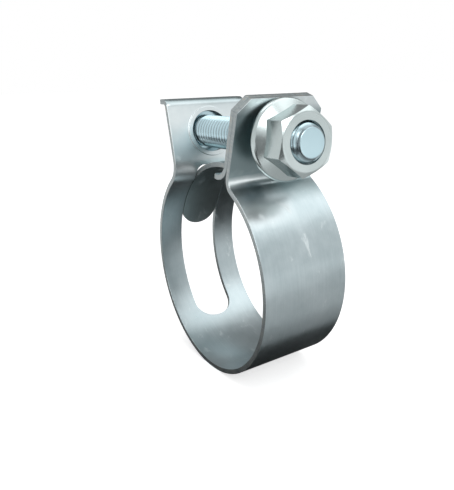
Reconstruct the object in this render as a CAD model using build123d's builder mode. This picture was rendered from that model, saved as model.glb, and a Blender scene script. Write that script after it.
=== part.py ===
from build123d import *

import os
from math import atan2, cos, degrees, hypot, radians, sin, sqrt, tan

# Heavy duty hose clamp, millimetres, +Z up.
# Y is the axis of the hose, X is the axis of the bolt, and the origin is on the hose axis
# at the middle of the strip's width. The nut is at +X, the head of the bolt at -X.

# Strip
hose_radius = 24.0  # inner face of the loop
strip_width = 22.0
strip_thickness = 1.2

# Bolt, M8, threaded almost up to its head
bolt_radius = 4.0
thread_pitch = 1.25
thread_neck = 3.75  # plain stretch under the head
ring_spacing = 1.85  # between the rings that stand for the thread
ring_crest = 0.02  # their crests lie this far under the nominal radius
bolt_over_tongue = 2.15  # room between the shank and the tongue below it
bolt_length = 43.2  # under the head
bolt_end_chamfer = 0.9
hex_across_flats = 13.0  # head and nut
hex_crown_inset = 0.3  # the flat crown of a hex is this much smaller than its flats
hex_crown_angle = 30.0
head_height = 5.3
washer_face_radius = 5.9  # turned ring under the head
washer_face_height = 0.4

# Flange nut
nut_height = 7.8
nut_turn = -8.0  # about the bolt, from one corner straight up
flange_radius = 8.95
flange_rim = 1.2
flange_edge_chamfer = 0.3
flange_slope = 25.0
thread_clearance = 0.05
countersink_depth = 0.5

# Left ear and its lip
ear_hole_radius = 5.1
left_reach = 13.8  # middle of the sheet from the middle of the clamp, at the bolt's height
left_lean = 10.0
left_bend = 5.0  # inside radius where the ear leaves the loop
collar_width = 1.1  # pressed ring round the hole
collar_height = 0.3
lip_height = 7.65  # middle of the lip above the bolt
lip_reach = 18.9
lip_bend = 0.7
lip_corner = 1.2

# Right ear
right_reach = 14.9
right_lean = 18.4
right_bend = 1.8
right_ear_top = 9.5  # along the ear, above the bolt
ear_corner = 3.0  # both layers are cropped alike

# Bridge plate: a tab inside the right ear and a tongue that carries on the loop
plate_thickness = 1.2
plate_bend = 3.4
tongue_width = 10.0
tongue_tip = 166.5  # round the loop, from +X towards +Z
tongue_tip_radius = 4.9
shoulder_radius = 1.0

# Slot in the strip, where the tongue lies
slot_side_clearance = 0.1
slot_end = 232.0
slot_end_radius = 5.0
slot_top_clearance = 1.5
slot_top_radius = 2.0

seat_clearance = 0.02  # between faces that touch
overcut = 3.0  # how far a cutting solid reaches past what it cuts
thread_overcut = 0.05

loop_radius = hose_radius + strip_thickness / 2
tongue_radius = hose_radius + plate_thickness / 2
tongue_outer = hose_radius + plate_thickness
bolt_height = tongue_outer + bolt_over_tongue + bolt_radius
cut_inner = hose_radius - overcut
cut_outer = hose_radius + max(strip_thickness, plate_thickness) + overcut
thread_depth = 0.61 * thread_pitch
groove_half = ring_spacing / 2 * (thread_depth + thread_overcut) / (thread_depth - ring_crest)
ring_count = int((bolt_length - thread_neck - bolt_end_chamfer) / ring_spacing)
hex_corner = hex_across_flats / 2 / cos(radians(30))
hex_crown = hex_across_flats / 2 - hex_crown_inset
hex_crown_drop = (hex_corner - hex_crown) * tan(radians(hex_crown_angle))


class Ear:
    """The line of an ear's sheet in the XZ plane. side is -1 for the left ear, 1 for the right."""

    def __init__(self, side, reach, lean, shift=0.0):
        self.side = side
        self.up = (sin(radians(lean)), cos(radians(lean)))
        self.out = (cos(radians(lean)), -sin(radians(lean)))
        self.bolt_along = reach * self.up[0] + bolt_height * self.up[1]
        self.offset = reach * self.out[0] + bolt_height * self.out[1] + shift

    def point(self, along, off=0.0):
        """A point at a distance along the ear, moved outwards by off."""
        reach = self.out[0] * (self.offset + off) + self.up[0] * along
        height = self.out[1] * (self.offset + off) + self.up[1] * along
        return (self.side * reach, height)

    def at_height(self, height, off=0.0):
        """The point of the ear at a height, moved outwards by off."""
        return self.point((height - (self.offset + off) * self.out[1]) / self.up[1], off)

    def bend_centre(self, ring_radius, bend, outwards):
        """Centre of a bend that touches the ear and a circle about the hose axis.

        outwards is 1 if the centre lies outside the ear, -1 if it lies in the gap.
        """
        off = outwards * bend
        return self.point(sqrt((ring_radius + bend) ** 2 - (self.offset + off) ** 2), off)

    def bend_onto(self, ring_radius, bend, outwards):
        """Start on the ear, middle, and end on the circle of that bend."""
        centre = self.bend_centre(ring_radius, bend, outwards)
        start = (centre[0] - self.side * outwards * bend * self.out[0],
                 centre[1] - outwards * bend * self.out[1])
        share = ring_radius / (ring_radius + bend)
        end = (centre[0] * share, centre[1] * share)
        chord = ((start[0] + end[0]) / 2 - centre[0], (start[1] + end[1]) / 2 - centre[1])
        scale = bend / hypot(*chord)
        return start, (centre[0] + chord[0] * scale, centre[1] + chord[1] * scale), end

    def plane(self):
        """The sheet's plane where the bolt crosses it, with its normal outwards."""
        x, z = self.point(self.bolt_along)
        normal = (self.side * self.out[0], 0, self.out[1])
        return Plane(origin=(x, 0, z), x_dir=(0, 1, 0), z_dir=normal)


def on_ring(radius, angle):
    """A point of a circle about the hose axis."""
    return (radius * cos(radians(angle)), radius * sin(radians(angle)))


def angle_of(point):
    return degrees(atan2(point[1], point[0]))


def along_bolt(x):
    """The plane square to the bolt at x, centred on its axis."""
    return Plane(origin=(x, 0, bolt_height), x_dir=(0, 1, 0), z_dir=(1, 0, 0))


def face_against(ear, radius):
    """Distance out of a flat disc, square to the bolt, whose rim meets the ear's outer face."""
    x, _ = ear.at_height(bolt_height + radius, strip_thickness / 2)
    return abs(x) + seat_clearance


def circles(piece, radius):
    """The round edges of a piece that have this radius."""
    rounds = piece.edges().filter_by(GeomType.CIRCLE)
    return rounds.filter_by(lambda edge: abs(edge.radius - radius) < seat_clearance)


def hex_envelope(back, crown):
    """A revolved outline that takes the corners off a hex between back and its flat crown."""
    shoulder = crown - hex_crown_drop if crown > back else crown + hex_crown_drop
    with BuildPart() as envelope:
        with BuildSketch(Plane.XZ):
            with BuildLine():
                Polyline(
                    (back, bolt_height),
                    (back, bolt_height + hex_corner),
                    (shoulder, bolt_height + hex_corner),
                    (crown, bolt_height + hex_crown),
                    (crown, bolt_height),
                    close=True,
                )
            make_face()
        revolve(axis=bolt_axis)
    return envelope.part


left_ear = Ear(-1, left_reach, left_lean)
right_ear = Ear(1, right_reach, right_lean)
layer_step = (strip_thickness + plate_thickness) / 2 + seat_clearance
tab = Ear(1, right_reach, right_lean, -layer_step)
right_normal = Axis((0, 0, 0), (right_ear.out[0], 0, right_ear.out[1]))
right_rise = Axis((0, 0, 0), (right_ear.up[0], 0, right_ear.up[1]))
bolt_axis = Axis((0, 0, bolt_height), (1, 0, 0))

# Band: one strip, bent into the lip, the left ear, the loop and the right ear
lip_middle = bolt_height + lip_height
left_foot = left_ear.bend_onto(loop_radius, left_bend + strip_thickness / 2, 1)
right_foot = right_ear.bend_onto(loop_radius, right_bend + strip_thickness / 2, 1)

with BuildPart() as bent_strip:
    with BuildSketch(Plane.XZ):
        with BuildLine():
            FilletPolyline(
                (-lip_reach, lip_middle),
                left_ear.at_height(lip_middle),
                left_foot[0],
                radius=lip_bend + strip_thickness / 2,
            )
            ThreePointArc(*left_foot)
            ThreePointArc(left_foot[-1], on_ring(loop_radius, 270), right_foot[-1])
            ThreePointArc(*right_foot)
            Line(right_foot[0], right_ear.point(right_ear.bolt_along + right_ear_top))
        trace(line_width=strip_thickness)
    extrude(amount=strip_width / 2, both=True)
    chamfer(bent_strip.edges().filter_by(right_normal).sort_by(right_rise)[-2:], ear_corner)
    fillet(bent_strip.edges().filter_by(Axis.Z).sort_by(Axis.X)[:2], lip_corner)

    # Pressed collar on the inner face of the left ear, then the hole of each ear
    with BuildSketch(left_ear.plane()):
        Circle(ear_hole_radius + collar_width)
    extrude(amount=-strip_thickness / 2 - collar_height)
    collar_rim = circles(bent_strip, ear_hole_radius + collar_width).sort_by(Axis.X)[-1]
    chamfer(collar_rim, 0.8 * collar_height)
    for ear in (left_ear, right_ear):
        with BuildSketch(ear.plane()):
            Circle(ear_hole_radius)
        extrude(amount=overcut, both=True, mode=Mode.SUBTRACT)

# The slot reaches up the foot of the left ear until the strip is clear of the tongue
foot_centre = left_ear.bend_centre(loop_radius, left_bend + strip_thickness / 2, 1)
foot_distance = hypot(*foot_centre)
foot_surface = left_bend + strip_thickness
crossing = (tongue_outer**2 + foot_distance**2 - foot_surface**2) / (2 * foot_distance)
crossing_off = sqrt(tongue_outer**2 - crossing**2)
crossing_height = (crossing * foot_centre[1] - crossing_off * foot_centre[0]) / foot_distance
slot_top = crossing_height + slot_top_clearance
slot_top_reach = left_ear.at_height(slot_top)[0]
slot_half = tongue_width / 2 + slot_side_clearance

with BuildPart() as slot_cutter:
    with BuildSketch(Plane.XZ):
        with BuildLine():
            top_outer = (slot_top_reach - overcut, slot_top)
            top_inner = (slot_top_reach + overcut, slot_top)
            outer_start = on_ring(cut_outer, angle_of(top_outer))
            inner_start = on_ring(cut_inner, angle_of(top_inner))
            Line(top_outer, outer_start)
            ThreePointArc(outer_start, on_ring(cut_outer, 180), on_ring(cut_outer, slot_end))
            Line(on_ring(cut_outer, slot_end), on_ring(cut_inner, slot_end))
            ThreePointArc(on_ring(cut_inner, slot_end), on_ring(cut_inner, 180), inner_start)
            Line(inner_start, top_inner)
            Line(top_inner, top_outer)
        make_face()
    extrude(amount=slot_half, both=True)
    slot_end_line = Axis((0, 0, 0), (cos(radians(slot_end)), 0, sin(radians(slot_end))))
    fillet(slot_cutter.edges().filter_by(slot_end_line), slot_end_radius)
    fillet(slot_cutter.edges().filter_by(Axis.X).sort_by(Axis.Z)[-2:], slot_top_radius)

with BuildPart() as clamp_band:
    add(bent_strip.part)
    add(slot_cutter.part, mode=Mode.SUBTRACT)

# Bridge plate
tab_foot = tab.bend_onto(tongue_radius, plate_bend + plate_thickness / 2, -1)
tongue_start = tab_foot[-1]
tongue_middle = on_ring(tongue_radius, (tongue_tip + angle_of(tongue_start)) / 2)

with BuildPart() as bridge_plate:
    with BuildSketch(Plane.XZ):
        with BuildLine():
            Line(tab.point(tab.bolt_along + right_ear_top), tab_foot[0])
            ThreePointArc(*tab_foot)
            ThreePointArc(tongue_start, tongue_middle, on_ring(tongue_radius, tongue_tip))
        trace(line_width=plate_thickness)
    extrude(amount=strip_width / 2, both=True)

    # Beside the tongue the plate stops at its shoulders
    with BuildSketch(Plane.XY) as beside_tongue:
        with Locations((tongue_start[0], 0)):
            Rectangle(2 * cut_outer, strip_width + overcut, align=(Align.MAX, Align.CENTER))
            Rectangle(2 * cut_outer, tongue_width, align=(Align.MAX, Align.CENTER),
                      mode=Mode.SUBTRACT)
        roots = beside_tongue.vertices().group_by(Axis.X)[-1].sort_by(Axis.Y)[1:3]
        fillet(roots, shoulder_radius)
    extrude(amount=cut_outer, both=True, mode=Mode.SUBTRACT)
    tip_line = Axis((0, 0, 0), (cos(radians(tongue_tip)), 0, sin(radians(tongue_tip))))
    fillet(bridge_plate.edges().filter_by(tip_line), tongue_tip_radius)

    with BuildSketch(right_ear.plane()):
        Circle(ear_hole_radius)
    extrude(amount=-layer_step - overcut, mode=Mode.SUBTRACT)
    chamfer(bridge_plate.edges().filter_by(right_normal).sort_by(right_rise)[-2:], ear_corner)

# Bolt: hex head with a turned ring under it, and the shank
head_face = -face_against(left_ear, washer_face_radius)
head_crown = head_face - head_height

with BuildPart() as clamp_bolt:
    with BuildSketch(along_bolt(head_crown)):
        RegularPolygon(hex_across_flats / 2, 6, major_radius=False)
    extrude(amount=head_height - washer_face_height)
    add(hex_envelope(head_face, head_crown), mode=Mode.INTERSECT)
    with BuildSketch(along_bolt(head_face - washer_face_height)):
        Circle(washer_face_radius)
    extrude(amount=washer_face_height)
    with BuildSketch(along_bolt(head_face)):
        Circle(bolt_radius)
    extrude(amount=bolt_length)
    chamfer(circles(clamp_bolt, bolt_radius).sort_by(Axis.X)[-1], bolt_end_chamfer)

    # The thread is cut as rings of its depth. They have no lead and lie further apart than
    # its turns, so that the solid stays light
    with BuildSketch(Plane.XZ):
        with Locations(*[(head_face + thread_neck + (ring + 0.5) * ring_spacing,
                          bolt_height + bolt_radius) for ring in range(ring_count)]):
            Polygon(
                (0, -thread_depth),
                (groove_half, thread_overcut),
                (-groove_half, thread_overcut),
                align=None,
            )
    revolve(axis=bolt_axis, mode=Mode.SUBTRACT)

# Nut: hex, and the cone and rim of its flange
nut_face = face_against(right_ear, flange_radius)
nut_crown = nut_face + nut_height
cone_top_radius = hex_across_flats / 2 - flange_rim
cone_height = (flange_radius - cone_top_radius) * tan(radians(flange_slope))

with BuildPart() as flange_nut:
    with BuildSketch(along_bolt(nut_face)):
        RegularPolygon(hex_across_flats / 2, 6, major_radius=False, rotation=90 + nut_turn)
    extrude(amount=nut_height)
    add(hex_envelope(nut_face, nut_crown), mode=Mode.INTERSECT)
    with BuildSketch(Plane.XZ):
        with BuildLine():
            Polyline(
                (nut_face, bolt_height),
                (nut_face, bolt_height + flange_radius),
                (nut_face + flange_rim, bolt_height + flange_radius),
                (nut_face + flange_rim + cone_height, bolt_height + cone_top_radius),
                (nut_face + flange_rim + cone_height, bolt_height),
                close=True,
            )
        make_face()
    revolve(axis=bolt_axis)
    chamfer(circles(flange_nut, flange_radius), flange_edge_chamfer)
    with BuildSketch(along_bolt(nut_face)):
        Circle(bolt_radius + thread_clearance)
    extrude(amount=nut_height, mode=Mode.SUBTRACT)
    chamfer(circles(flange_nut, bolt_radius + thread_clearance), countersink_depth)

clamp_band.part.label = "clamp_band"
bridge_plate.part.label = "bridge_plate"
clamp_bolt.part.label = "clamp_bolt"
flange_nut.part.label = "flange_nut"

os.makedirs("parts", exist_ok=True)
export_step(clamp_band.part, "parts/clamp_band.step")
export_step(bridge_plate.part, "parts/bridge_plate.step")
export_step(clamp_bolt.part, "parts/clamp_bolt.step")
export_step(flange_nut.part, "parts/flange_nut.step")
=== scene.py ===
# %% [markdown]
# A heavy hose clamp, from its frame to its picture. The frame is the clamp as it was
# engineered: four pieces in their places, with the joints that move them. This script never
# moves that frame. It models each piece again over it with rounded edges, real threads and
# zinc plating, and lets each new piece ride on the same body.

# %% Load the frame
import math

import bpy
from mathutils import Matrix, Quaternion, Vector


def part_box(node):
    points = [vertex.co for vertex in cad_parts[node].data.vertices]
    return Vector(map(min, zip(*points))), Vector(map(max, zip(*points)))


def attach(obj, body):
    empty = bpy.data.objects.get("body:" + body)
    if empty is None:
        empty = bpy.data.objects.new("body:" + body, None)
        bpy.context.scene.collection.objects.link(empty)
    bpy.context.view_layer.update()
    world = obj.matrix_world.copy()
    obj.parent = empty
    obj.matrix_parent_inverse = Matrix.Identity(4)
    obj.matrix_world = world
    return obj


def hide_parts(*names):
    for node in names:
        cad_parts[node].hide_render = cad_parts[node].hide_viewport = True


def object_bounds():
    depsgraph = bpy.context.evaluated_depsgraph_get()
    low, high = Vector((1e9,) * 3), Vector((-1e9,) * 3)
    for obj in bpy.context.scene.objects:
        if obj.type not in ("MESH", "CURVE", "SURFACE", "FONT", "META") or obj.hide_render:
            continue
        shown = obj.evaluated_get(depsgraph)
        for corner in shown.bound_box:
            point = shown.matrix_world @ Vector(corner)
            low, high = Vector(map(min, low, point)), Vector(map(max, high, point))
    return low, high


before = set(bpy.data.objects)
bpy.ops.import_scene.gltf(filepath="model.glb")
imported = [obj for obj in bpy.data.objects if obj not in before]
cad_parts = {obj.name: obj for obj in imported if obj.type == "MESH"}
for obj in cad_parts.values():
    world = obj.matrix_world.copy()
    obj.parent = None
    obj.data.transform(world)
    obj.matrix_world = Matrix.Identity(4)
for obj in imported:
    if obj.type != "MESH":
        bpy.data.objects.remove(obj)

cad_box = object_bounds()
mm = 0.001
hair = 0.0001 * mm
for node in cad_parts:
    low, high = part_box(node)
    print(node, [round(v / mm, 2) for v in low], [round(v / mm, 2) for v in high])

# %% [markdown]
# Edit-mode tools act on whatever is selected, and the frame arrives selected. So every step
# starts by choosing one object alone. The helpers below do what a hand does in the viewport:
# pick an object, enter edit mode, and mark vertices, edges or faces by where they are.

# %% Helpers for working in edit mode
def take(piece):
    """Makes one object the only selected one."""
    if bpy.context.mode != "OBJECT":
        bpy.ops.object.mode_set(mode="OBJECT")
    bpy.ops.object.select_all(action="DESELECT")
    piece.select_set(True)
    bpy.context.view_layer.objects.active = piece


def edit(piece, kind="VERT"):
    """Enters edit mode on one object with nothing selected."""
    take(piece)
    bpy.ops.object.mode_set(mode="EDIT")
    bpy.ops.mesh.select_mode(type=kind)
    bpy.ops.mesh.select_all(action="DESELECT")


def mark(piece, kind, test):
    """Selects the vertices, edges or faces that pass a test, and returns how many there are."""
    edit(piece, kind)
    bpy.ops.object.mode_set(mode="OBJECT")
    parts = {"VERT": piece.data.vertices, "EDGE": piece.data.edges, "FACE": piece.data.polygons}
    found = [part for part in parts[kind] if test(part)]
    for part in found:
        part.select = True
    bpy.ops.object.mode_set(mode="EDIT")
    return len(found)


def done(piece, name):
    """Leaves edit mode and names the piece and its mesh."""
    take(piece)
    piece.name = name
    piece.data.name = name
    return piece


def finish_with(piece, kind, **settings):
    """Adds a modifier with its settings and applies it."""
    take(piece)
    modifier = piece.modifiers.new(kind.title(), kind)
    for setting, value in settings.items():
        setattr(modifier, setting, value)
    bpy.ops.object.modifier_apply(modifier=modifier.name)


def fix_place(piece):
    """Moves an object's place and turn into its mesh."""
    take(piece)
    bpy.ops.object.transform_apply(location=True, rotation=True, scale=True)


def middle(piece, edge):
    """The middle of an edge."""
    first, second = (piece.data.vertices[index].co for index in edge.vertices)
    return (first + second) / 2


def cut_with(piece, cutter, operation="DIFFERENCE"):
    """Cuts a piece with another solid, or joins them, and takes the other solid away."""
    finish_with(piece, "BOOLEAN", operation=operation, object=cutter, solver="EXACT")
    bpy.data.objects.remove(cutter)


print("helpers ready")

# %% [markdown]
# Both sheet pieces start as a flat blank, as in the workshop. The strip is punched flat and
# then formed round rolls. In Blender the blank is a box with its holes cut, its edges broken
# and cross lines where it will bend, and a Curve modifier does the rolling. Spinning a cross
# section would make the same loop, but its slot would then be cut out of a curved wall, which
# leaves long thin faces and bad shading.

# %% Sizes of the two sheets, in metres
sheet = 1.2 * mm
half_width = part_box("clamp_band")[1].y
hose_radius = 24 * mm
ring = hose_radius + sheet / 2
bolt_height = (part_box("flange_nut")[0].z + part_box("flange_nut")[1].z) / 2
ear_hole = 5.1 * mm
edge_break = 0.12 * mm
seat = 0.02 * mm
print("bolt height", round(bolt_height / mm, 3), "half width", round(half_width / mm, 3))


class Ear:
    """A flat ear that stands on the ring: how far out it is and how much it leans."""

    def __init__(self, reach, lean, bend, shift=0.0, outwards=1):
        self.lean = lean
        turn = math.radians(lean)
        self.up = (math.sin(turn), math.cos(turn))
        self.out = (math.cos(turn), -math.sin(turn))
        self.offset = reach * self.out[0] + bolt_height * self.out[1] + shift
        self.bolt_along = reach * self.up[0] + bolt_height * self.up[1]
        centre_off = self.offset + outwards * bend
        self.foot_along = math.sqrt((ring + bend) ** 2 - centre_off**2)
        centre = self.at(self.foot_along, outwards * bend)
        self.ring_angle = math.degrees(math.atan2(centre[1], centre[0]))

    def at(self, along, off=0.0):
        """A point at a distance along the ear, moved outwards by off."""
        return (self.out[0] * (self.offset + off) + self.up[0] * along,
                self.out[1] * (self.offset + off) + self.up[1] * along)

    def along_at(self, height):
        """How far along the ear a height is reached."""
        return (height - self.offset * self.out[1]) / self.up[1]


left_bend = 5.0 * mm + sheet / 2
right_bend = 1.8 * mm + sheet / 2
plate_bend = 3.4 * mm + sheet / 2
lip_bend = 0.7 * mm + sheet / 2
left_ear = Ear(13.8 * mm, 10, left_bend)
right_ear = Ear(14.9 * mm, 18.4, right_bend)
tab = Ear(14.9 * mm, 18.4, plate_bend, shift=-sheet - seat, outwards=-1)
ear_top = right_ear.bolt_along + 9.5 * mm
for name, ear in (("left", left_ear), ("right", right_ear), ("tab", tab)):
    print(name, "ear leaves the ring at", round(ear.ring_angle, 2), "degrees")

# %% [markdown]
# The line that a sheet follows is a walk: straight legs, and legs that turn by an angle over
# an arc. Turning left is positive. The walk gives the points of a poly curve every quarter of
# a millimetre, close enough for the tightest bend. The same walk says where to put the cross
# lines on the blank, because a face can only bend along an edge.

# %% Walks
class Walk:
    """A path of straight and curved legs, from a start point and a heading in degrees."""

    def __init__(self, start, heading):
        self.start = start
        self.heading = heading
        self.legs = []
        self.length = 0.0

    def straight(self, length):
        self.legs.append((length, 0.0))
        self.length += length
        return self

    def arc(self, radius, turn):
        length = radius * math.radians(abs(turn))
        self.legs.append((length, turn))
        self.length += length
        return self

    def points(self, step=0.25 * mm):
        """Points (distance, x, y) of the walk, about a step apart, exact at each leg's end."""
        x, y = self.start
        heading = math.radians(self.heading)
        reached = 0.0
        found = [(reached, x, y)]
        for length, turn in self.legs:
            count = max(1, round(length / step))
            bite = math.radians(turn) / count
            chord = length / count if not turn else (
                2 * length / abs(math.radians(turn)) * math.sin(abs(bite) / 2))
            for _ in range(count):
                x += chord * math.cos(heading + bite / 2)
                y += chord * math.sin(heading + bite / 2)
                heading += bite
                reached += length / count
                found.append((reached, x, y))
        return found

    def bend_lines(self, step_angle):
        """Distances where the blank needs a cross line, so that no face turns by much."""
        found = []
        reached = 0.0
        for length, turn in self.legs:
            limit = step_angle if length < ring else step_angle / 2
            count = max(1, math.ceil(abs(turn) / limit))
            if turn:
                found += [reached + length * share / count for share in range(count + 1)]
            reached += length
        return found


lip_middle = bolt_height + 7.65 * mm
lip_reach = 18.9 * mm
lip_turn = 90 - left_ear.lean
lip_tangent = lip_bend * math.tan(math.radians(lip_turn / 2))
corner_along = left_ear.along_at(lip_middle)
lip_flat = lip_reach - left_ear.at(corner_along)[0] - lip_tangent
ear_flat = corner_along - lip_tangent - left_ear.foot_along

strip_walk = Walk((-lip_reach, lip_middle), 0)
strip_walk.straight(lip_flat).arc(lip_bend, -lip_turn)
left_ear_start = strip_walk.length
strip_walk.straight(ear_flat).arc(left_bend, -(left_ear.ring_angle + left_ear.lean))
loop_start = strip_walk.length
strip_walk.arc(ring, 180 + left_ear.ring_angle + right_ear.ring_angle)
strip_walk.arc(right_bend, -(right_ear.ring_angle + right_ear.lean))
right_ear_start = strip_walk.length
strip_walk.straight(ear_top - right_ear.foot_along)

tab_walk = Walk(tab.at(ear_top), 270 - tab.lean)
tab_walk.straight(ear_top - tab.foot_along)
tab_walk.arc(plate_bend, tab.ring_angle + tab.lean - 180)
tongue_start = tab_walk.length
tab_walk.arc(ring, 166.5 - tab.ring_angle)
print("strip", round(strip_walk.length / mm, 2), "mm, plate", round(tab_walk.length / mm, 2))

# %% [markdown]
# Punching. A plane of the blank's size gets its corners rounded or cropped by beveling its
# corner vertices, and is extruded to its thickness. Holes are cut by boolean with a cylinder,
# because nothing else makes a clean round hole in one flat face.

# %% Helpers for blanks
def flat_plate(start, end, half, thickness):
    """A plane from start to end along X, half its thickness below zero."""
    bpy.ops.mesh.primitive_plane_add(size=1, location=((start + end) / 2, 0, -thickness / 2))
    piece = bpy.context.object
    piece.scale = (end - start, 2 * half, 1)
    fix_place(piece)
    return piece


def round_corners(piece, place, radius, segments):
    """Bevels the corner vertices of a flat plate that lie at a distance along it."""
    mark(piece, "VERT", lambda v: abs(v.co.x - place) < seat)
    bpy.ops.mesh.bevel(offset=radius, offset_type="OFFSET", segments=segments,
                       affect="VERTICES", clamp_overlap=False)


def thicken(piece, thickness):
    """Extrudes a flat plate upwards into a solid."""
    edit(piece, "FACE")
    bpy.ops.mesh.select_all(action="SELECT")
    bpy.ops.mesh.extrude_region_move(TRANSFORM_OT_translate={"value": (0, 0, thickness)})
    bpy.ops.mesh.select_all(action="SELECT")
    bpy.ops.mesh.normals_make_consistent(inside=False)
    take(piece)


def punch_hole(piece, place, radius):
    """Cuts a round hole through a blank."""
    bpy.ops.mesh.primitive_cylinder_add(vertices=72, radius=radius, depth=10 * sheet,
                                        location=(place, 0, 0))
    hole = bpy.context.object
    fix_place(hole)
    cut_with(piece, hole)


def break_edges(piece, width, angle=40, segments=2):
    """Rounds every edge that is sharper than an angle."""
    finish_with(piece, "BEVEL", width=width, segments=segments, limit_method="ANGLE",
                angle_limit=math.radians(angle), use_clamp_overlap=False,
                miter_outer="MITER_SHARP")


print("blank tools ready")

# %% [markdown]
# The strip's blank has a long slot for the tongue, a cropped end at the right ear and a
# rounded end at the lip. The ring pressed round the left hole stands on the side that ends up
# in the gap, so it goes on top of the blank: that side becomes the inside of the loop.

# %% Strip blank
slot_top_height = 23.44 * mm
slot_top = next(reached for reached, x, height in strip_walk.points() if height < slot_top_height)
slot_end = loop_start + ring * math.radians(232 - 180 + left_ear.ring_angle)
left_hole = left_ear_start + corner_along - lip_tangent - left_ear.bolt_along
right_hole = right_ear_start + right_ear.bolt_along - right_ear.foot_along

strip = flat_plate(0, strip_walk.length, half_width, sheet)
round_corners(strip, 0, 1.2 * mm, 5)
round_corners(strip, strip_walk.length, 3.0 * mm, 1)
thicken(strip, sheet)

slot = flat_plate(slot_top, slot_end, 5.1 * mm, 10 * sheet)
round_corners(slot, slot_top, 2.0 * mm, 8)
round_corners(slot, slot_end, 5.0 * mm, 18)
thicken(slot, 10 * sheet)
cut_with(strip, slot)

bpy.ops.mesh.primitive_cylinder_add(vertices=72, radius=ear_hole + 1.1 * mm, depth=sheet,
                                    location=(left_hole, 0, 0.3 * mm))
collar = bpy.context.object
fix_place(collar)
cut_with(strip, collar, "UNION")
punch_hole(strip, left_hole, ear_hole)
punch_hole(strip, right_hole, ear_hole)
break_edges(strip, edge_break)
print("strip blank:", len(strip.data.vertices), "vertices, slot from",
      round(slot_top / mm, 2), "to", round(slot_end / mm, 2), "mm")

# %% [markdown]
# Rolling. The blank gets a cross line wherever it will bend, cut by bisect. It is then stood
# on its edge, and the Curve modifier lays its X axis along the walk. Between two cross lines
# a face stays flat, as sheet metal does, so even a face with an odd outline never warps. The
# flat layout is written to a UV map first, so that the rolling streaks of the finish follow
# the sheet round its bends.

# %% Helpers that roll a blank
def keep_layout(piece):
    """Writes the blank's flat layout to a UV map. On a cut edge the second axis is the depth."""
    layout = piece.data.uv_layers.new(name="layout")
    for face in piece.data.polygons:
        side = max(range(3), key=lambda axis: abs(face.normal[axis]))
        across = {0: (1, 2), 1: (0, 2), 2: (0, 1)}[side]
        for loop in face.loop_indices:
            place = piece.data.vertices[piece.data.loops[loop].vertex_index].co
            layout.data[loop].uv = (place[across[0]], place[across[1]])


def mark_sheared(piece):
    """Gives the faces that the punch cut the second material slot."""
    for face in piece.data.polygons:
        face.material_index = 0 if abs(face.normal.z) > 0.5 else 1


def roll(piece, walk, step_angle=4):
    """Cuts the cross lines of a blank and bends it along its walk."""
    for place in walk.bend_lines(step_angle):
        edit(piece)
        bpy.ops.mesh.select_all(action="SELECT")
        bpy.ops.mesh.bisect(plane_co=(place, 0, 0), plane_no=(1, 0, 0), threshold=hair)
    take(piece)
    piece.rotation_euler = (-math.pi / 2, 0, 0)
    fix_place(piece)

    points = walk.points()
    line = bpy.data.curves.new("walk", "CURVE")
    line.dimensions = "3D"
    line.twist_mode = "Z_UP"
    spline = line.splines.new("POLY")
    spline.points.add(len(points) - 1)
    for spline_point, (_, x, y) in zip(spline.points, points):
        spline_point.co = (x, y, 0, 1)
    rail = bpy.data.objects.new("walk", line)
    bpy.context.scene.collection.objects.link(rail)
    finish_with(piece, "CURVE", object=rail, deform_axis="POS_X")
    bpy.data.objects.remove(rail)
    piece.rotation_euler = (math.pi / 2, 0, 0)
    fix_place(piece)


def shade(piece, angle=30):
    """Smooth shading, with sharp edges kept and large faces kept flat."""
    take(piece)
    bpy.ops.object.shade_smooth_by_angle(angle=math.radians(angle))
    finish_with(piece, "WEIGHTED_NORMAL", keep_sharp=True, weight=80)


keep_layout(strip)
mark_sheared(strip)
roll(strip, strip_walk)
shade(strip)
done(strip, "formed_strip")
print("strip rolled:", len(strip.data.polygons), "faces",
      [round(v / mm, 2) for corner in strip.bound_box[:1] for v in corner],
      [round(v / mm, 2) for v in strip.dimensions])

# %% [markdown]
# The bridge plate is a second blank: as wide as the strip behind the right ear, and narrowed
# to a tongue that lies in the slot. The narrow part is extruded from the middle of the wide
# part's end. The inside corners get a small radius, as any punch leaves, and the tip is
# almost a half round.

# %% Bridge plate
tongue_half = 5.0 * mm
plate = flat_plate(0, tongue_start, half_width, sheet)
edit(plate)
bpy.ops.mesh.select_all(action="SELECT")
for side in (-1, 1):
    bpy.ops.mesh.select_all(action="SELECT")
    bpy.ops.mesh.bisect(plane_co=(0, side * tongue_half, 0), plane_no=(0, 1, 0), threshold=hair)
mark(plate, "EDGE", lambda e: (middle(plate, e) - Vector((tongue_start, 0, -sheet / 2))).length
     < seat)
bpy.ops.mesh.extrude_region_move(
    TRANSFORM_OT_translate={"value": (tab_walk.length - tongue_start, 0, 0)})
take(plate)
mark(plate, "VERT", lambda v: abs(v.co.x - tongue_start) < seat
     and abs(abs(v.co.y) - tongue_half) < seat)
bpy.ops.mesh.bevel(offset=1.0 * mm, segments=5, affect="VERTICES")
round_corners(plate, tab_walk.length, 4.9 * mm, 16)
mark(plate, "VERT", lambda v: v.co.x < seat and abs(v.co.y) > tongue_half + seat)
bpy.ops.mesh.bevel(offset=3.0 * mm, segments=1, affect="VERTICES")
thicken(plate, sheet)
punch_hole(plate, ear_top - tab.bolt_along, ear_hole)
break_edges(plate, edge_break)
keep_layout(plate)
mark_sheared(plate)
roll(plate, tab_walk)
shade(plate)
done(plate, "bridge_tongue")
print("plate rolled:", len(plate.data.polygons), "faces",
      [round(v / mm, 2) for v in plate.dimensions])
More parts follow.
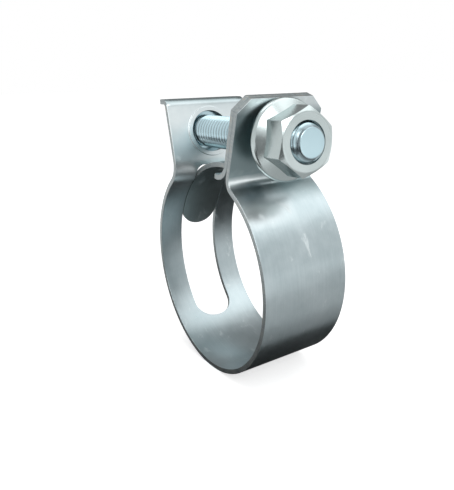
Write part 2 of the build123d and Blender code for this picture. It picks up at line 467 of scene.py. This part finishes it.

# %% [markdown]
# Bolt and nut share one thread, M8 with a pitch of 1.25 mm. A rod is grown from a single
# vertex: it is extruded along the outline of one pitch, and the Screw modifier winds that
# outline round the X axis, turn after turn. Bisect cuts it to length and closes its ends. The
# same rod, a hair fatter, is the tap that cuts the nut, so the two threads mesh at every
# position of the joint. The lines on the shank are real flanks, with painted shade in the roots.

# %% Thread
pitch = 1.25 * mm
thread_radius = 4.0 * mm
thread_depth = 0.61 * pitch
bolt_low, bolt_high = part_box("clamp_bolt")
nut_low, nut_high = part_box("flange_nut")


def threaded_rod(start, end, grow=0.0):
    """A closed right-hand threaded rod about the X axis. grow makes it fatter."""
    crest = thread_radius + grow
    root = crest - thread_depth
    rise = 0.31 * pitch
    outline = [(0, crest - 0.04 * mm), (0.05 * pitch, crest), (0.09 * pitch, crest),
               (0.14 * pitch, crest - 0.04 * mm), (0.14 * pitch + rise, root + 0.04 * mm),
               (0.21 * pitch + rise, root), (0.31 * pitch + rise, root),
               (0.38 * pitch + rise, root + 0.04 * mm), (pitch, crest - 0.04 * mm)]
    before = math.floor(start / pitch) - 1
    turns = math.ceil(end / pitch) + 1 - before
    bpy.ops.mesh.primitive_plane_add(size=1)
    rod = bpy.context.object
    edit(rod)
    bpy.ops.mesh.select_all(action="SELECT")
    bpy.ops.mesh.merge(type="CENTER")
    bpy.ops.transform.translate(value=(before * pitch, 0, outline[0][1]))
    for here, there in zip(outline, outline[1:]):
        step = (there[0] - here[0], 0, there[1] - here[1])
        bpy.ops.mesh.extrude_region_move(TRANSFORM_OT_translate={"value": step})
    finish_with(rod, "SCREW", axis="X", angle=2 * math.pi, screw_offset=pitch,
                iterations=turns, steps=40, render_steps=40, use_normal_calculate=True)
    edit(rod)
    bpy.ops.mesh.select_all(action="SELECT")
    bpy.ops.mesh.remove_doubles(threshold=0.002 * mm)
    for place, outer, inner in ((start, False, True), (end, True, False)):
        bpy.ops.mesh.select_all(action="SELECT")
        bpy.ops.mesh.bisect(plane_co=(place, 0, 0), plane_no=(1, 0, 0), threshold=hair,
                            use_fill=True, clear_outer=outer, clear_inner=inner)
    bpy.ops.mesh.select_all(action="SELECT")
    bpy.ops.mesh.normals_make_consistent(inside=False)
    take(rod)
    return rod


def turned(radius, start, end, sides=96):
    """A plain round bar about the X axis, as a start for turning."""
    bpy.ops.mesh.primitive_cylinder_add(vertices=sides, radius=radius, depth=end - start,
                                        location=((start + end) / 2, 0, 0),
                                        rotation=(0, math.pi / 2, 0))
    bar = bpy.context.object
    fix_place(bar)
    return bar


def chamfer_rim(bar, place, drop, depth):
    """Turns a cone on one end of a bar: the rim comes in by drop over a depth."""
    mark(bar, "FACE", lambda f: abs(f.center.x - place) < seat and abs(f.normal.x) > 0.9)
    bpy.ops.mesh.extrude_region_move(TRANSFORM_OT_translate={"value": (0, 0, 0)})
    scale = (bar.dimensions.z / 2 - drop) / (bar.dimensions.z / 2)
    bpy.ops.transform.resize(value=(1, scale, scale), center_override=(place, 0, 0))
    take(bar)
    side = 1 if place > 0 else -1
    mark(bar, "VERT", lambda v: abs(v.co.x - place) < seat
         and math.hypot(v.co.y, v.co.z) > bar.dimensions.z / 2 - drop / 2)
    bpy.ops.transform.translate(value=(-side * depth, 0, 0))
    take(bar)


def round_rim(bar, place, radius, width, segments=4):
    """Rounds one round edge of a turned bar, found by its place and radius."""
    def on_rim(edge):
        ends = [bar.data.vertices[index].co for index in edge.vertices]
        return all(abs(end.x - place) < seat and abs(math.hypot(end.y, end.z) - radius) < seat
                   for end in ends)
    mark(bar, "EDGE", on_rim)
    bpy.ops.mesh.bevel(offset=width, segments=segments, affect="EDGES")
    take(bar)


def hexagon(start, end, turn):
    """A hexagonal bar about the X axis, 13 mm across its flats, with its long edges broken."""
    across = 13 * mm
    bpy.ops.mesh.primitive_cylinder_add(vertices=6, radius=across / 2 / math.cos(math.pi / 6),
                                        depth=end - start,
                                        location=((start + end) / 2, 0, 0),
                                        rotation=(0, math.pi / 2, 0))
    bar = bpy.context.object
    fix_place(bar)
    bar.rotation_euler = (math.radians(turn), 0, 0)
    fix_place(bar)
    mark(bar, "EDGE", lambda e: abs(middle(bar, e).x - (start + end) / 2) < seat)
    bpy.ops.mesh.bevel(offset=0.15 * mm, segments=3, affect="EDGES")
    take(bar)
    return bar


def closed(piece):
    """How many edges don't have exactly two faces: 0 on a sound solid."""
    uses = {}
    for face in piece.data.polygons:
        for key in face.edge_keys:
            uses[key] = uses.get(key, 0) + 1
    return sum(1 for count in uses.values() if count != 2)


print("thread depth", round(thread_depth / mm, 3), "mm")

# %% [markdown]
# The bolt is a hex bar whose crown is turned off at 30 degrees, so each flat ends in an arch.
# A turned ring stands under it, and the rod gets a turned point. The cone is cut by crossing
# the hex bar with a turned bar: the arches come out by themselves, as they do on the lathe.

# %% Bolt
crown_inset = 0.3 * mm
crown_drop = (13 * mm / 2 / math.cos(math.pi / 6) - 13 * mm / 2 + crown_inset) * math.tan(
    math.radians(30))
hex_corner = 13 * mm / 2 / math.cos(math.pi / 6)
head_face = bolt_low.x + 5.3 * mm

bolt = hexagon(bolt_low.x, head_face - 0.4 * mm, 0)
crown = turned(hex_corner, bolt_low.x, head_face)
chamfer_rim(crown, bolt_low.x, hex_corner - 6.5 * mm + crown_inset, crown_drop)
round_rim(crown, bolt_low.x, 6.5 * mm - crown_inset, 0.15 * mm)
cut_with(bolt, crown, "INTERSECT")
washer_face = turned(5.9 * mm, head_face - 1.0 * mm, head_face)
round_rim(washer_face, head_face, 5.9 * mm, 0.1 * mm)
cut_with(bolt, washer_face, "UNION")

rod = threaded_rod(head_face - 0.5 * mm, bolt_high.x + 0.05 * mm)
point = turned(thread_radius + 0.2 * mm, head_face - 1.0 * mm, bolt_high.x)
chamfer_rim(point, bolt_high.x, 0.9 * mm + 0.2 * mm, 0.9 * mm + 0.2 * mm)
round_rim(point, bolt_high.x, thread_radius - 0.9 * mm, 0.15 * mm)
cut_with(rod, point, "INTERSECT")
cut_with(bolt, rod, "UNION")
bolt.location = (0, 0, bolt_height)
fix_place(bolt)
shade(bolt, 28)
done(bolt, "threaded_bolt")
print("bolt:", len(bolt.data.polygons), "faces, open edges", closed(bolt),
      [round(v / mm, 2) for v in bolt.dimensions])

# %% [markdown]
# The flange nut is the same hex bar on a turned flange with a cone. The flange's rim is
# rounded, the bore is countersunk at both ends and then tapped with the fat rod.

# %% Nut
flange_radius = 8.95 * mm
flange_rim = 1.2 * mm
cone_top = 13 * mm / 2 - flange_rim
cone_height = (flange_radius - cone_top) * math.tan(math.radians(25))

nut = hexagon(nut_low.x, nut_high.x, 22)
crown = turned(hex_corner, nut_low.x, nut_high.x)
chamfer_rim(crown, nut_high.x, hex_corner - 6.5 * mm + crown_inset, crown_drop)
round_rim(crown, nut_high.x, 6.5 * mm - crown_inset, 0.2 * mm)
cut_with(nut, crown, "INTERSECT")
flange = turned(flange_radius, nut_low.x, nut_low.x + flange_rim + cone_height, 128)
chamfer_rim(flange, nut_low.x + flange_rim + cone_height, flange_radius - cone_top, cone_height)
round_rim(flange, nut_low.x + flange_rim, flange_radius, 0.55 * mm, 6)
round_rim(flange, nut_low.x, flange_radius, 0.45 * mm, 5)
cut_with(nut, flange, "UNION")
bore = turned(thread_radius - 0.68 * mm, nut_low.x - 1 * mm, nut_high.x + 1 * mm)
cut_with(nut, bore)
for place, side in ((nut_low.x, 1), (nut_high.x, -1)):
    sink = turned(5.55 * mm, place - 1 * mm, place + 1 * mm)
    chamfer_rim(sink, place + 1 * mm, 2 * mm, 2 * mm)
    if side < 0:
        sink.scale = (-1, 1, 1)
        sink.location = (2 * place, 0, 0)
        fix_place(sink)
        edit(sink)
        bpy.ops.mesh.select_all(action="SELECT")
        bpy.ops.mesh.normals_make_consistent(inside=False)
        take(sink)
    cut_with(nut, sink)
tap = threaded_rod(nut_low.x - 1 * mm, nut_high.x + 1 * mm, 0.05 * mm)
cut_with(nut, tap)
nut.location = (0, 0, bolt_height)
fix_place(nut)
shade(nut, 28)
done(nut, "tapped_nut")
print("nut:", len(nut.data.polygons), "faces, open edges", closed(nut),
      [round(v / mm, 2) for v in nut.dimensions])

# %% [markdown]
# Each new piece stands for its solid of the frame and rides on the same body. The solid stays
# where it is for the physics, and is only hidden.

# %% Put the pieces on their bodies
for piece, node, body, slot_name in (
        (strip, "clamp_band", "band", "zinc_strip"),
        (plate, "bridge_plate", "band", "zinc_plate"),
        (bolt, "clamp_bolt", "bolt", "zinc_bolt"),
        (nut, "flange_nut", "nut", "zinc_nut")):
    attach(piece, body)
    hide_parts(node)
    print(piece.name, "stands for", node)

# %% [markdown]
# Finishes are built from nodes. A Signal wraps one socket, so that shader maths reads like
# sums: 0.3 + 0.1 * cloud adds its Math nodes by itself. A Finish is one material with one
# shader. Only what changes over the surface is linked: everything else is set on the shader.

# %% Tools for finishes
class Signal:
    """An output socket that can be added, subtracted and multiplied."""

    def __init__(self, finish, socket):
        self.finish = finish
        self.socket = socket

    def join(self, operation, first, second=0.0):
        return self.finish.join(operation, first, second)

    def __add__(self, other):
        return self.join("ADD", self, other)

    def __radd__(self, other):
        return self.join("ADD", other, self)

    def __sub__(self, other):
        return self.join("SUBTRACT", self, other)

    def __rsub__(self, other):
        return self.join("SUBTRACT", other, self)

    def __mul__(self, other):
        return self.join("MULTIPLY", self, other)

    def __rmul__(self, other):
        return self.join("MULTIPLY", other, self)


class Finish:
    """One metal finish: a material, its nodes and its shader."""

    def __init__(self, name):
        self.material = bpy.data.materials.new(name)
        self.material.use_nodes = True
        self.tree = self.material.node_tree
        self.shader = self.tree.nodes["Principled BSDF"]
        self.shader.inputs["Metallic"].default_value = 1.0

    def node(self, kind, settings, inputs, output=0):
        """Adds a node with its settings, feeds its sockets, and returns one output."""
        made = self.tree.nodes.new(kind)
        for name, value in settings.items():
            if name == "stops":
                for index, (place, level) in enumerate(value):
                    stop = (made.color_ramp.elements[index] if index < 2
                            else made.color_ramp.elements.new(place))
                    stop.position = place
                    stop.color = (level, level, level, 1)
            else:
                setattr(made, name, value)
        for socket, value in inputs.items():
            self.feed(made.inputs[socket], value)
        return Signal(self, made.outputs[output])

    def feed(self, socket, value):
        if isinstance(value, Signal):
            self.tree.links.new(value.socket, socket)
        elif isinstance(value, (tuple, list)) and len(value) == 3 and socket.type == "RGBA":
            socket.default_value = (*value, 1)
        else:
            socket.default_value = value

    def join(self, operation, first, second=0.0):
        """One step of shader maths."""
        return self.node("ShaderNodeMath", {"operation": operation}, {0: first, 1: second})

    def flat(self, source, axis):
        """One axis of a UV map, in metres."""
        where = self.node("ShaderNodeUVMap", {"uv_map": source}, {})
        return self.node("ShaderNodeSeparateXYZ", {}, {"Vector": where}, axis)

    def coordinate(self, axis):
        """One of the object's own coordinates, in metres."""
        where = self.node("ShaderNodeTexCoord", {}, {}, "Object")
        return self.node("ShaderNodeSeparateXYZ", {}, {"Vector": where}, axis)

    def place(self, source, scale):
        """Coordinates from the object or from a UV map, stretched by a scale for each axis."""
        if source == "object":
            where = self.node("ShaderNodeTexCoord", {}, {}, "Object")
        else:
            where = self.node("ShaderNodeUVMap", {"uv_map": source}, {})
        return self.node("ShaderNodeMapping", {}, {"Vector": where, "Scale": scale})

    def noise(self, source, scale, detail=3.0, rough=0.5, distortion=0.0):
        """Cloudy noise from 0 to 1. scale is how many lumps there are in a metre."""
        return self.node("ShaderNodeTexNoise", {"noise_dimensions": "3D"},
                         {"Vector": self.place(source, scale), "Scale": 1.0, "Detail": detail,
                          "Roughness": rough, "Distortion": distortion}, "Fac")

    def ramp(self, signal, *stops):
        """Sends a signal through levels given as (place, level)."""
        return self.node("ShaderNodeValToRGB", {"stops": stops}, {"Fac": signal})

    def blend(self, amount, first, second):
        """A colour between two colours."""
        return self.node("ShaderNodeMix", {"data_type": "RGBA"},
                         {0: amount, 6: first, 7: second}, 2)

    def bump(self, height, distance, strength=1.0, under=None):
        """A normal from a height signal. distance is how high the signal's 1 stands."""
        inputs = {"Height": height, "Distance": distance, "Strength": strength}
        if under is not None:
            inputs["Normal"] = under
        return self.node("ShaderNodeBump", {}, inputs)

    def set(self, **inputs):
        for name, value in inputs.items():
            self.feed(self.shader.inputs[name.replace("_", " ").title()], value)
        return self.material


print("finish tools ready")

# %% [markdown]
# Zinc on cold-rolled strip is a satin blue-grey. Up close it has three scales: faint clouds
# where the bath took differently, fine streaks along the rolling direction, and small bright
# scuffs from handling. The streaks are noise stretched 60 times along the layout map, so they
# run round the loop and up the ears. Most of the look is in the roughness, because a metal
# shows its surface by how sharply it reflects.
# Stretches of painted highlight and painted shade are laid over the tone at the ears and bends.

# %% Finish of the sheets
def sheet_zinc(name, pale, dark, painted_light=()):
    """Zinc on strip, with stretches of the layout that get a painted highlight or painted shade
    laid over its tone: each has its start, its end, how much at the near and at the far
    side, and the colour."""
    zinc = Finish(name)
    clouds = zinc.noise("layout", (70, 90, 1), detail=3.0)
    mottle = zinc.noise("layout", (420, 500, 1), detail=4.0, rough=0.6)
    streaks = zinc.noise("layout", (60, 3600, 1), detail=2.0)
    scuffs = zinc.ramp(zinc.noise("layout", (140, 260, 1), detail=6.0, rough=0.7, distortion=0.6),
                       (0.60, 0.0), (0.72, 1.0))
    shade_mix = zinc.ramp(0.55 * clouds + 0.25 * mottle + 0.2 * streaks, (0.36, 0.0), (0.62, 1.0))
    tone = zinc.blend(shade_mix, dark, pale)
    along, across = zinc.flat("layout", "X"), zinc.flat("layout", "Y")
    side = 0.5 + across * (0.5 / half_width)
    tone = zinc.blend(0.5 * scuffs, tone, (0.85, 0.90, 0.90))
    uneven = 0.7 * clouds + 0.5 * mottle - 0.6
    # Painted highlight or painted shade: each stretch blends its colour over the tone.
    for start, end, near, far, colour in painted_light:
        centre, reach = (start + end) / 2, (end - start) / 2
        away = 0.5 * zinc.join("ABSOLUTE", (along - centre) * (1 / reach)) + 0.5 * uneven
        amount = zinc.ramp(away, (0.25, 1.0), (0.80, 0.0)) * zinc.ramp(side, (0.20, near), (0.60, far))
        tone = zinc.blend(amount, tone, colour)
    waves = zinc.bump(clouds, 0.10 * mm, 0.5)
    grain = zinc.bump(streaks + 0.6 * mottle, 0.006 * mm, 0.6, waves)
    return zinc.set(base_color=tone,
                    roughness=0.18 + 0.10 * clouds + 0.10 * mottle + 0.07 * streaks
                    + 0.20 * scuffs, normal=grain)


right_bend_start = right_ear_start - right_bend * math.radians(
    right_ear.ring_angle + right_ear.lean)
right_ear_end = strip_walk.length
# Painted highlight (pale) and painted shade (dark), laid over the strip's tone in stretches.
painted_highlight, painted_shade = (0.80, 0.86, 0.87), (0.21, 0.27, 0.28)
# Pale: left ear, below and on the right bend, right ear's top. Dark: lip bend, under the flange, right
# ear.
strip_zinc = sheet_zinc("zinc_on_strip", (0.46, 0.53, 0.55), (0.35, 0.42, 0.44),
                        [(left_ear_start, left_ear_start + 19 * mm, 1.0, 0.7, painted_highlight),
                         (lip_flat - 0.5 * mm, left_ear_start - 0.3 * mm, 0.8, 0.8, painted_shade),
                         (right_bend_start - 8 * mm, right_bend_start + 1 * mm, 1.0, 0, painted_highlight),
                         (right_bend_start - 4 * mm, right_bend_start + 2 * mm, 0, 0.75, painted_shade),
                         (right_ear_start - 2 * mm, right_ear_end - 5 * mm, 1.0, 1.0, painted_shade),
                         (right_bend_start + 0.4 * mm, right_ear_start, 1.0, 0, painted_highlight),
                         (right_ear_end - 2.5 * mm, right_ear_end + 1 * mm, 0.8, 0.6, painted_highlight)])
plate_zinc = sheet_zinc("zinc_on_plate", (0.44, 0.52, 0.53), (0.34, 0.41, 0.42))
print("sheet finishes ready")

# %% [markdown]
# A punched edge isn't like the face. The punch leaves fine lines across the thickness and a
# torn zone that stays matt and slightly brown under the thin zinc. The layout map's second
# axis is the depth there, so stretching the noise along it draws those lines.

# %% Finish of the punched edges
def sheared_zinc(name):
    edge = Finish(name)
    lines = edge.noise("layout", (2600, 160, 1), detail=3.0, rough=0.6)
    patches = edge.noise("layout", (300, 900, 1), detail=2.0)
    mix = edge.ramp(0.6 * lines + 0.4 * patches, (0.38, 0.0), (0.62, 1.0))
    bare = edge.ramp(0.5 * lines + 0.5 * patches, (0.54, 0.0), (0.66, 0.7))
    tone = edge.blend(mix, (0.24, 0.27, 0.28), (0.38, 0.42, 0.42))
    return edge.set(base_color=edge.blend(bare, tone, (0.36, 0.30, 0.25)),
                    roughness=0.36 + 0.2 * patches,
                    normal=edge.bump(lines, 0.01 * mm, 0.5))


edge_zinc = sheared_zinc("zinc_on_punched_edge")
strip.data.materials.append(strip_zinc)
strip.data.materials.append(edge_zinc)
plate.data.materials.append(plate_zinc)
plate.data.materials.append(edge_zinc)
print("edge finish ready")

# %% [markdown]
# The bolt and nut are plated bright and come out of a barrel, so they are smoother, a little
# bluer, and marked all over by small knocks. Object coordinates suit them: a bolt has no
# rolling direction. The bottom of the bolt's thread gets painted shade, which draws the thread's
# lines: the tone there goes by the distance from the bolt's axis.

# %% Finish of the bolt and nut
def barrel_zinc(name, pale, dark, rough, root_shade_radius=None):
    plating = Finish(name)
    clouds = plating.noise("object", (180, 180, 180), detail=2.0)
    knocks = plating.noise("object", (1100, 1100, 1100), detail=3.0, rough=0.6)
    mix = plating.ramp(0.85 * clouds + 0.15 * knocks, (0.30, 0.0), (0.70, 1.0))
    tone = plating.blend(mix, dark, pale)
    if root_shade_radius:
        # Painted shade in the thread's roots: darker near the root radius, the head left out.
        y, z = plating.coordinate("Y"), plating.coordinate("Z")
        radius = plating.join("SQRT", y * y + (z - bolt_height) * (z - bolt_height))
        depth = 0.5 + (radius - root_shade_radius) * (0.5 / (thread_radius - root_shade_radius))
        bright = plating.ramp(depth, (0.42, 1.0), (0.48, 0.0), (0.62, 0.0), (0.88, 1.0))
        bright = plating.join("MAXIMUM", bright,
                              plating.join("LESS_THAN", plating.coordinate("X"), head_face))
        tone = plating.blend(bright, (0.20, 0.25, 0.27), tone)
    return plating.set(base_color=tone, roughness=rough + 0.10 * clouds + 0.06 * knocks,
                       normal=plating.bump(knocks, 0.002 * mm, 0.5))


bolt.data.materials.append(barrel_zinc("zinc_on_bolt", (0.47, 0.62, 0.67), (0.40, 0.54, 0.59), 0.14,
                                       thread_radius - thread_depth))
nut.data.materials.append(barrel_zinc("zinc_on_nut", (0.50, 0.565, 0.565), (0.42, 0.48, 0.48), 0.16))
print("bolt and nut finishes ready")

# %% [markdown]
# The floor and the surroundings are white, as in a catalogue picture. The floor is a pale
# matt sheet that catches the lamps' light, so that the clamp's shadow stays, with a glow that
# lifts it to white where a camera, a mirror or a glass looks at it.

# %% Floor and surroundings
floor_height = cad_box[0].z
bpy.ops.mesh.primitive_circle_add(vertices=64, radius=4, fill_type="NGON",
                                  location=(0, 0, floor_height))
floor = bpy.context.object
fix_place(floor)
done(floor, "studio_floor")

floor_sheet = Finish("pale_floor")
floor_sheet.shader.inputs["Metallic"].default_value = 0.0
floor_sheet.shader.inputs["Roughness"].default_value = 0.9
floor_sheet.shader.inputs["Base Color"].default_value = (0.8, 0.8, 0.8, 1)
floor_sheet.shader.inputs["Emission Strength"].default_value = 1.0


def seen(finish):
    """1 for rays that the camera, a mirror or a glass sends out, 0 for plain light."""
    rays = finish.tree.nodes.new("ShaderNodeLightPath").outputs
    return sum((Signal(finish, rays[kind]) for kind in ("Is Glossy Ray", "Is Transmission Ray")),
               Signal(finish, rays["Is Camera Ray"]))


floor_sheet.set(emission_color=0.66 * seen(floor_sheet))
floor.data.materials.append(floor_sheet.material)


class Surroundings(Finish):
    """The world's own nodes, built with the same tools."""

    def __init__(self, world):
        world.use_nodes = True
        self.tree = world.node_tree
        self.shader = self.tree.nodes["Background"]


world = bpy.data.worlds.new("studio_surroundings")
bpy.context.scene.world = world
around = Surroundings(world)
around.shader.inputs["Color"].default_value = (1, 1, 1, 1)
around.feed(around.shader.inputs["Strength"], 0.45 + 0.55 * seen(around))
print("floor at", round(floor_height / mm, 2), "mm")

# %% [markdown]
# Bright metal only looks like metal when it has something dark to show. So sheets of paper
# stand round it, as a photographer puts them just out of the picture. Black ones lie under
# the clamp and at the right front, and one stands at the right: they darken what faces down
# and the near side of the nut. Greys beside them soften the step to the white floor, and a
# large grey one at the left back evens the inside of the loop.
# Only reflections see them: they cast no shadow.

# %% Cards
def paper(name, tone):
    """A matt paper of one grey."""
    sheet_of_paper = Finish(name)
    sheet_of_paper.shader.inputs["Metallic"].default_value = 0.0
    sheet_of_paper.shader.inputs["Roughness"].default_value = 0.9
    sheet_of_paper.shader.inputs["Base Color"].default_value = (tone, tone, tone, 1)
    return sheet_of_paper.material


def card(name, material, place, size, facing):
    """A rectangle of paper, its sizes in millimetres, that only reflections see."""
    bpy.ops.mesh.primitive_plane_add(size=1, location=Vector(place) * mm)
    rectangle = bpy.context.object
    rectangle.scale = (size[0] * mm, size[1] * mm, 1)
    rectangle.rotation_mode = "QUATERNION"
    rectangle.rotation_quaternion = Vector(facing).to_track_quat("Z", "Y")
    fix_place(rectangle)
    rectangle.data.materials.append(material)
    rectangle.visible_camera = False
    rectangle.visible_diffuse = False
    rectangle.visible_shadow = False
    done(rectangle, name)


black_paper = paper("black_paper", 0.03)
dark_paper = paper("dark_grey_paper", 0.50)
grey_paper = paper("grey_paper", 0.75)
card_height = floor_height / mm + 0.3
card("card_under_clamp", black_paper, (-38, 0, card_height), (124, 120), (0, 0, 1))
card("card_at_right", grey_paper, (60, 40, card_height), (72, 140), (0, 0, 1))
card("card_at_far_right", grey_paper, (140, 120, card_height), (88, 120), (0, 0, 1))
card("card_at_right_front", black_paper, (150, -91, card_height), (220, 118), (0, 0, 1))
card("card_standing_at_right", black_paper, (190, -65, -2), (46, 100), (-1, 0.3, 0))
card("card_beside_clamp", dark_paper, (29, 20, card_height + 0.3), (10, 140), (0, 0, 1))
card("card_at_left_back", dark_paper, (-115, 115, 130), (230, 230), (0.6, -0.55, -0.6))
print("cards ready")

# %% [markdown]
# Lamps, all soft. The large key lamp stands high on the right at the back and lights the
# upper outside of the loop. One overhead and one at the right front draw the bolt's bright
# upper side.

# %% Lamps
def soft_lamp(name, place, target, size, power):
    """A rectangular lamp at a place in metres that faces a target."""
    bpy.ops.object.light_add(type="AREA", location=place)
    lamp = bpy.context.object
    lamp.name = name
    lamp.data.shape = "RECTANGLE"
    lamp.data.size, lamp.data.size_y = size
    lamp.data.energy = power
    aim = Vector(target) - Vector(place)
    lamp.rotation_mode = "QUATERNION"
    lamp.rotation_quaternion = aim.to_track_quat("-Z", "Y")
    return lamp


middle_of_clamp = (0, 0, 0.01)
soft_lamp("key_lamp", (0.16, 0.20, 0.42), middle_of_clamp, (0.40, 0.40), 0.54)
soft_lamp("overhead_lamp", (-0.02, -0.06, 0.40), middle_of_clamp, (0.14, 0.20), 0.18)
soft_lamp("right_front_lamp", (0.42, -0.05, 0.26), middle_of_clamp, (0.24, 0.18), 0.60)
print("lamps ready")

# %% [markdown]
# Camera. Its place, turn and lens come from fitting the clamp's known shapes to the
# photograph: the loop, the two ears, the flange and the bolt's end. The picture is a crop of
# a larger one, so the lens is shifted by what the framing needs. Back is the direction from
# the clamp to the camera, and roll turns the camera about it.

# %% Camera
picture = (454, 490)
focal_pixels = 575.34
centre_pixel = (300, 220)
camera_place = Vector((117.10, -72.27, 44.25)) * mm
yaw, pitch, roll_angle = (math.radians(a) for a in (52.472, 13.996, -1.369))

long_side = max(picture)
lens = bpy.data.cameras.new("camera")
lens.sensor_width = 36.0
lens.lens = focal_pixels * lens.sensor_width / long_side
lens.shift_x = (picture[0] / 2 - centre_pixel[0]) / long_side
lens.shift_y = (centre_pixel[1] - picture[1] / 2) / long_side
lens.clip_start = 1 * mm
camera = bpy.data.objects.new("camera", lens)
bpy.context.scene.collection.objects.link(camera)
back = Vector((math.sin(yaw) * math.cos(pitch), -math.cos(yaw) * math.cos(pitch),
               math.sin(pitch)))
camera.location = camera_place
camera.rotation_mode = "QUATERNION"
camera.rotation_quaternion = ((-back).to_track_quat("-Z", "Y")
                              @ Quaternion((0, 0, 1), roll_angle))
bpy.context.scene.camera = camera
bpy.context.scene.view_settings.view_transform = "Standard"
print("lens", round(lens.lens, 2), "shift", round(lens.shift_x, 3), round(lens.shift_y, 3))

# %% [markdown]
# The size of what is shown is written beside the size of the frame, so that the two can be
# compared after each picture.

# %% Size of the frame
print("frame", [[round(v / mm, 2) for v in corner] for corner in cad_box])
